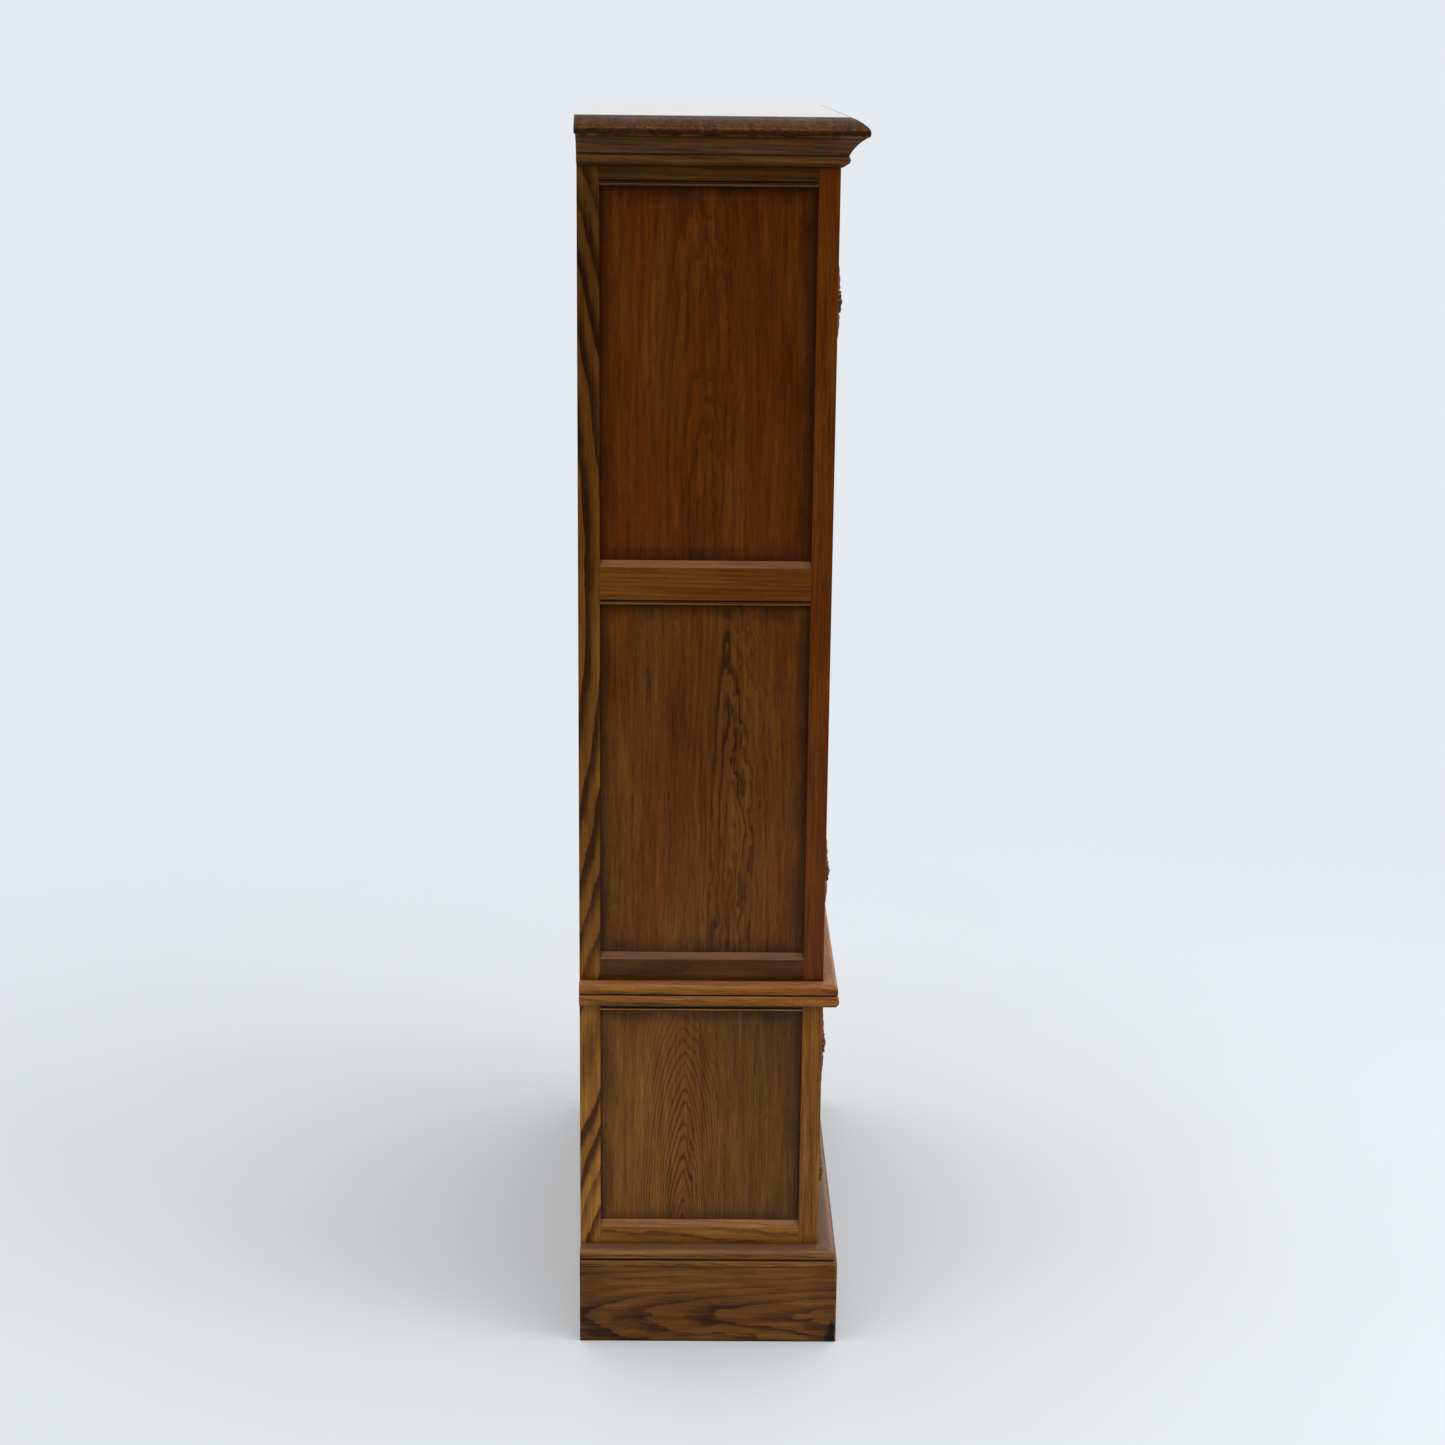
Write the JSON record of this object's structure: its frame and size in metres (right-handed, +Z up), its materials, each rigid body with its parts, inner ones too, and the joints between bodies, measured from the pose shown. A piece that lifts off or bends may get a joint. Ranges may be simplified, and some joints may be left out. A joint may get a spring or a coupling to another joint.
{
  "type": "barrister bookcase",
  "caption": "Tall oak bookcase with glazed doors that swing up and slide back over the shelves, drawers in a plinthed base, framed sides and a cornice.",
  "frame": {"origin": "on the floor, under the middle of the bounding box", "axes": "+Z up, -Y towards the front, X across the width"},
  "size_m": [0.956, 0.403, 1.83],
  "materials": {
    "oak_frame": "waxed, satin",
    "oak_panels": "waxed, satin",
    "oak_mouldings": "waxed, satin",
    "oak_carving": "waxed, satin",
    "oak_inside": "plain, matt",
    "clear_glass": "clear",
    "lead": "dull",
    "aged_brass": "aged"
  },
  "bodies": {
    "case": {"base_back_board": "oak_inside", "base_bottom_board": "oak_frame", "base_side_panels": "oak_panels", "base_side_rails": "oak_frame", "base_stiles": "oak_frame", "base_top_board": "oak_inside", "base_top_front_rail": "oak_frame", "carved_motifs": "oak_carving", "cornice_moulding_front": "oak_mouldings", "cornice_moulding_left": "oak_mouldings", "cornice_moulding_right": "oak_mouldings", "cornice_top_board": "oak_mouldings", "door_guide_strips": "oak_inside", "drawer_divider": "oak_frame", "drawer_guides": "oak_inside", "fixed_shelves": "oak_frame", "plinth_back_rail": "oak_inside", "plinth_board_front": "oak_frame", "plinth_board_left": "oak_frame", "plinth_board_right": "oak_frame", "plinth_corner_blocks": "oak_inside", "plinth_moulding_front": "oak_mouldings", "plinth_moulding_left": "oak_mouldings", "plinth_moulding_right": "oak_mouldings", "upper_back_board": "oak_inside", "upper_bottom_board": "oak_frame", "upper_side_panels": "oak_panels", "upper_side_rails": "oak_frame", "upper_stiles": "oak_frame", "upper_top_board": "oak_frame", "waist_moulding_front": "oak_mouldings", "waist_moulding_left": "oak_mouldings", "waist_moulding_right": "oak_mouldings"},
    "door_1_carriage": {"door_1_shoes": "aged_brass"},
    "door_1": {"door_1_cames": "lead", "door_1_frame": "oak_frame", "door_1_glass": "clear_glass", "door_1_knobs": "aged_brass"},
    "door_2_carriage": {"door_2_shoes": "aged_brass"},
    "door_2": {"door_2_cames": "lead", "door_2_frame": "oak_frame", "door_2_glass": "clear_glass", "door_2_knobs": "aged_brass"},
    "door_3_carriage": {"door_3_shoes": "aged_brass"},
    "door_3": {"door_3_cames": "lead", "door_3_frame": "oak_frame", "door_3_glass": "clear_glass", "door_3_knobs": "aged_brass"},
    "door_4_carriage": {"door_4_shoes": "aged_brass"},
    "door_4": {"door_4_cames": "lead", "door_4_frame": "oak_frame", "door_4_glass": "clear_glass", "door_4_knobs": "aged_brass"},
    "drawer_1": {"drawer_1_box": "oak_inside", "drawer_1_front": "oak_frame", "drawer_1_knobs": "oak_frame"},
    "drawer_2": {"drawer_2_box": "oak_inside", "drawer_2_front": "oak_frame", "drawer_2_knobs": "oak_frame"}
  },
  "joints": [
    {"name": "door_1_slide", "type": "slide", "parent": "case", "child": "door_1_carriage", "axis": [0, 1, 0], "range_m": [0, 0.2]},
    {"name": "door_1_hinge", "type": "hinge", "parent": "door_1_carriage", "child": "door_1", "pos_m": [0, -0.1525, 0.84625], "axis": [-1, 0, 0], "range_deg": [0, 90]},
    {"name": "door_2_slide", "type": "slide", "parent": "case", "child": "door_2_carriage", "axis": [0, 1, 0], "range_m": [0, 0.2]},
    {"name": "door_2_hinge", "type": "hinge", "parent": "door_2_carriage", "child": "door_2", "pos_m": [0, -0.1525, 1.1375], "axis": [-1, 0, 0], "range_deg": [0, 90]},
    {"name": "door_3_slide", "type": "slide", "parent": "case", "child": "door_3_carriage", "axis": [0, 1, 0], "range_m": [0, 0.2]},
    {"name": "door_3_hinge", "type": "hinge", "parent": "door_3_carriage", "child": "door_3", "pos_m": [0, -0.1525, 1.42875], "axis": [-1, 0, 0], "range_deg": [0, 90]},
    {"name": "door_4_slide", "type": "slide", "parent": "case", "child": "door_4_carriage", "axis": [0, 1, 0], "range_m": [0, 0.2]},
    {"name": "door_4_hinge", "type": "hinge", "parent": "door_4_carriage", "child": "door_4", "pos_m": [0, -0.1525, 1.72], "axis": [-1, 0, 0], "range_deg": [0, 90]},
    {"name": "drawer_1_slide", "type": "slide", "parent": "case", "child": "drawer_1", "axis": [0, -1, 0], "range_m": [0, 0.24]},
    {"name": "drawer_2_slide", "type": "slide", "parent": "case", "child": "drawer_2", "axis": [0, -1, 0], "range_m": [0, 0.24]}
  ]
}
